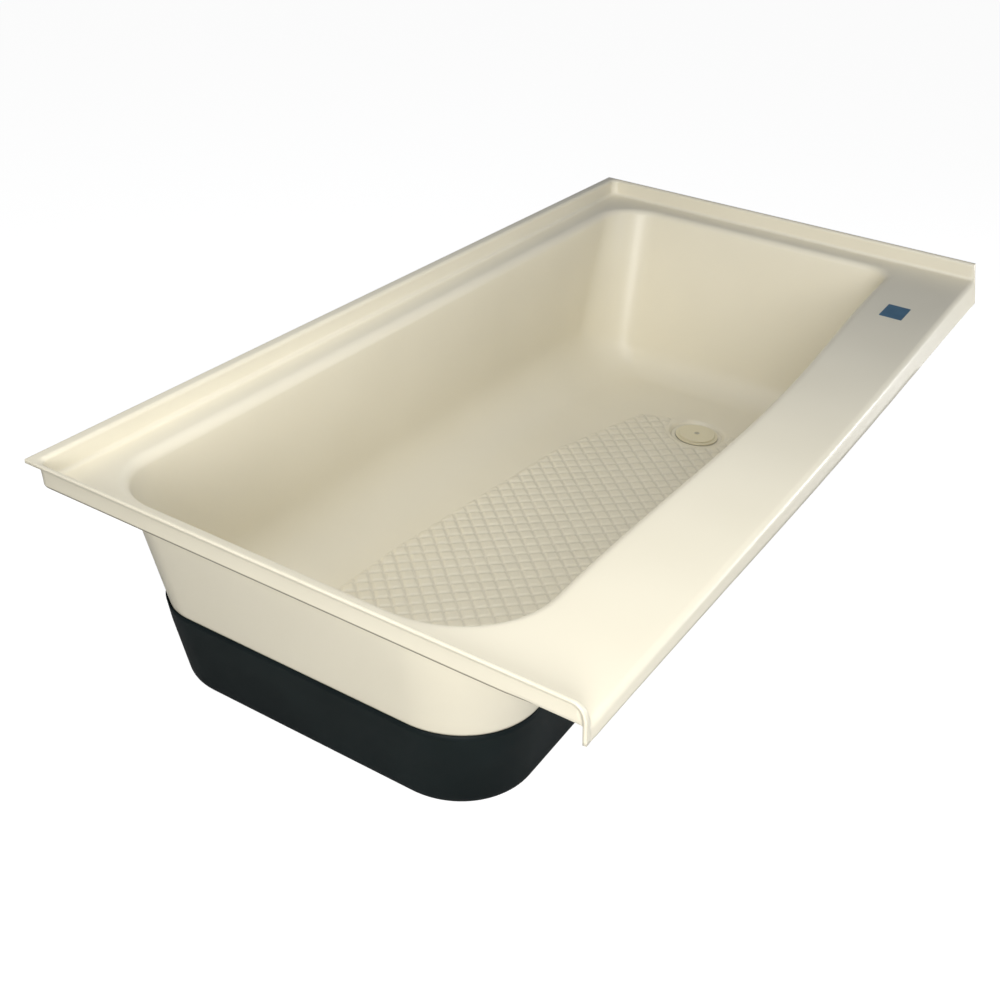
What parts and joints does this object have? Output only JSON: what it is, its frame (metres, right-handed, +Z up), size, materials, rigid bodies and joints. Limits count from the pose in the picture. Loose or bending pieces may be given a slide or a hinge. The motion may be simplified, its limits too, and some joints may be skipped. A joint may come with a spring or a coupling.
{
  "type": "bathtub",
  "caption": "Formed one-sided bathtub with a tiling lip on three sides, a wide front ledge with a short apron, a tiled floor pattern, a push stopper and a black lower pan.",
  "frame": {"origin": "middle of the part's box, on the ground under the lower pan", "axes": "+X along the tub towards the drain end, +Y towards the back lip, +Z up"},
  "size_m": [1.3716, 0.7018, 0.33],
  "materials": {
    "shell": "glossy, softly reflecting, cream",
    "pan": "satin, near black",
    "plywood": "raw plywood",
    "foam": "dull, fine grain",
    "label": "satin film, plain",
    "waste_plastic": "satin",
    "rubber": "dull",
    "fibre": "pressed fibre, dull",
    "brass": "turned",
    "steel": "brushed"
  },
  "bodies": {
    "tub": {"tub_shell": "shell", "base_pan": "pan", "floor_board": "plywood", "bedding_pad": "foam", "ledge_stiffener": "plywood", "size_label": "label", "waste_body": "waste_plastic", "flange_gasket": "rubber", "shell_washer": "rubber", "friction_ring": "fibre", "waste_locknut": "waste_plastic", "latch_barrel": "brass", "latch_spring": "steel"},
    "stopper": {"latch_spindle": "brass", "stopper_cap": "waste_plastic", "stopper_seal": "rubber", "cap_screw": "steel"}
  },
  "joints": [
    {"name": "stopper_lift", "type": "slide", "parent": "tub", "child": "stopper", "axis": [0, 0, 1], "range_m": [0, 0.008], "deforming": ["latch_spring"]}
  ]
}
